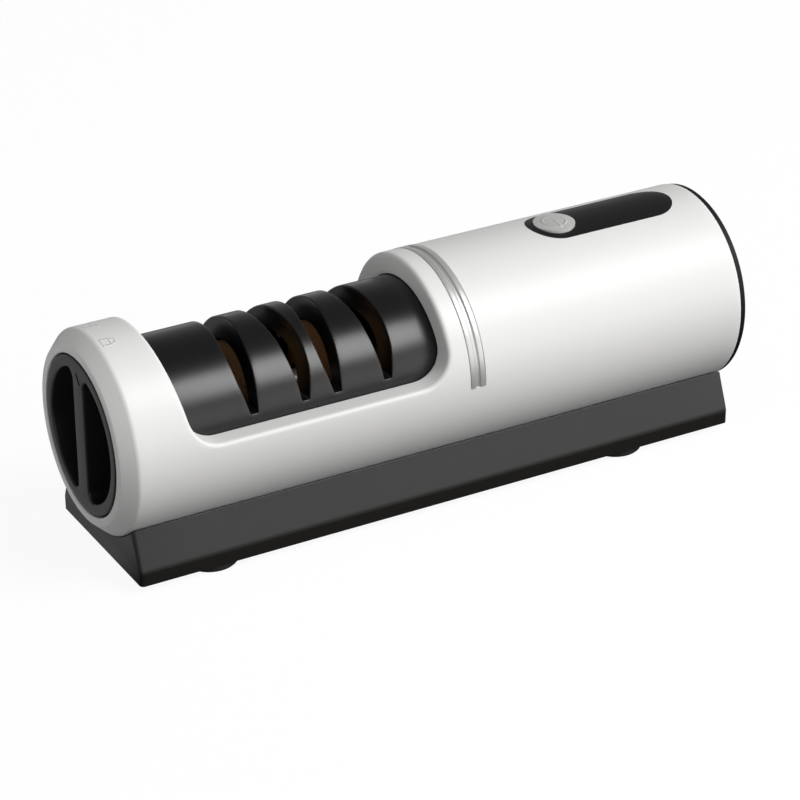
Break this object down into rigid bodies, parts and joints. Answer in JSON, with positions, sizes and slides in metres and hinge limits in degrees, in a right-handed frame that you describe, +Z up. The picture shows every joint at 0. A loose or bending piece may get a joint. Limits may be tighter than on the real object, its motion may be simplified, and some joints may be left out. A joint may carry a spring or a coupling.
{
  "type": "electric knife sharpener",
  "caption": "Cordless electric knife sharpener: round white housing on a dark base, with a pull-out cartridge of grinding wheels and blade slots, a lock knob and a push button.",
  "frame": {"origin": "on the table under the middle of the sharpener's length and width", "axes": "+X along the housing from the knob towards the end cap, +Z up, -Y towards the front"},
  "size_m": [0.235, 0.0694, 0.0806],
  "materials": {
    "white_shell": "moulded white, soft gloss",
    "bright_band": "bright plated, ribbed",
    "end_cap": "black satin",
    "panel": "black, polished",
    "cradle": "moulded, dull",
    "bulkhead": "moulded, dull",
    "base": "warm dark grey, fine grain",
    "base_plate": "black satin",
    "feet": "black, matt",
    "motor_steel": "rolled",
    "magnets": "pressed ferrite",
    "nylon": "natural, waxy",
    "contacts": "plated",
    "bushes": "sintered",
    "screws": "zinc plated",
    "shaft_steel": "ground",
    "laminations": "stacked sheet",
    "copper": "enamelled copper",
    "tray_plastic": "moulded, dull",
    "cell_wrap": "shrink wrap",
    "board": "solder resist",
    "switch_plastic": "moulded",
    "button": "fine satin",
    "lead_insulation": "soft insulation",
    "cartridge": "black satin",
    "hubs": "moulded",
    "coarse_stone": "coarse bonded grit",
    "fine_stone": "fine bonded grit",
    "clips": "blackened",
    "knob": "warm dark grey, fine grain"
  },
  "bodies": {
    "body": {"housing": "white_shell", "trim_band": "bright_band", "end_cap": "end_cap", "end_cap_screws": "screws", "top_panel": "panel", "cartridge_cradle": "cradle", "motor_bulkhead": "bulkhead", "body_screws": "screws", "base_shell": "base", "base_plate": "base_plate", "base_plate_screws": "screws", "foot_left_front": "feet", "foot_left_back": "feet", "foot_right_front": "feet", "foot_right_back": "feet", "motor_can": "motor_steel", "motor_magnets": "magnets", "motor_end_bell": "nylon", "motor_terminals": "contacts", "motor_bushes": "bushes", "motor_screws": "screws", "electronics_tray": "tray_plastic", "cell_front": "cell_wrap", "cell_back": "cell_wrap", "cell_strips": "contacts", "control_board": "board", "board_screws": "screws", "tact_switch": "switch_plastic", "button_spring": "shaft_steel", "charge_board": "board", "charge_port": "contacts", "motor_leads": "lead_insulation", "cell_leads": "lead_insulation", "charge_leads": "lead_insulation"},
    "button": {"power_button": "button"},
    "rotor": {"motor_shaft": "shaft_steel", "motor_armature": "laminations", "motor_windings": "copper", "motor_commutator": "copper", "drive_coupling": "nylon"},
    "cartridge": {"cartridge_top": "cartridge", "cartridge_tray": "cartridge", "cartridge_screws": "screws", "left_bush": "bushes", "right_bush": "bushes"},
    "wheels": {"wheel_shaft": "shaft_steel", "coarse_hub": "hubs", "coarse_wheel": "coarse_stone", "fine_hub": "hubs", "fine_wheel": "fine_stone", "shaft_spacers": "motor_steel", "shaft_clips": "clips", "driven_coupling": "nylon"},
    "knob": {"knob": "knob", "latch_cam": "nylon", "cam_screws": "screws", "knob_clip": "clips"},
    "latch_front": {"latch_bolt_front": "nylon"},
    "latch_back": {"latch_bolt_back": "nylon"}
  },
  "joints": [
    {"name": "cartridge_slide", "type": "slide", "parent": "body", "child": "cartridge", "axis": [-1, 0, 0], "range_m": [0, 0.125]},
    {"name": "knob_turn", "type": "hinge", "parent": "cartridge", "child": "knob", "pos_m": [-0.111, 0, 0.04515], "axis": [1, 0, 0], "range_deg": [-30, 0]},
    {"name": "front_bolt_slide", "type": "slide", "parent": "cartridge", "child": "latch_front", "axis": [0, -1, 0], "range_m": [0, 0.002]},
    {"name": "back_bolt_slide", "type": "slide", "parent": "cartridge", "child": "latch_back", "axis": [0, 1, 0], "range_m": [0, 0.002]},
    {"name": "button_press", "type": "slide", "parent": "body", "child": "button", "axis": [0, 0, -1], "range_m": [0, 0.0009], "stiffness_N_per_m": 1500, "springref_m": -0.0006, "deforming": ["button_spring"]},
    {"name": "motor_spin", "type": "hinge", "parent": "body", "child": "rotor", "pos_m": [0.0225, 0, 0.04515], "axis": [1, 0, 0], "continuous": true},
    {"name": "wheel_spin", "type": "hinge", "parent": "cartridge", "child": "wheels", "pos_m": [-0.0425, 0, 0.04515], "axis": [1, 0, 0], "continuous": true}
  ],
  "couplings": [
    {"joint": "front_bolt_slide", "follows": "knob_turn", "m_per_rad": -0.003819},
    {"joint": "back_bolt_slide", "follows": "knob_turn", "m_per_rad": -0.003819},
    {"joint": "wheel_spin", "follows": "motor_spin", "ratio": 1}
  ]
}
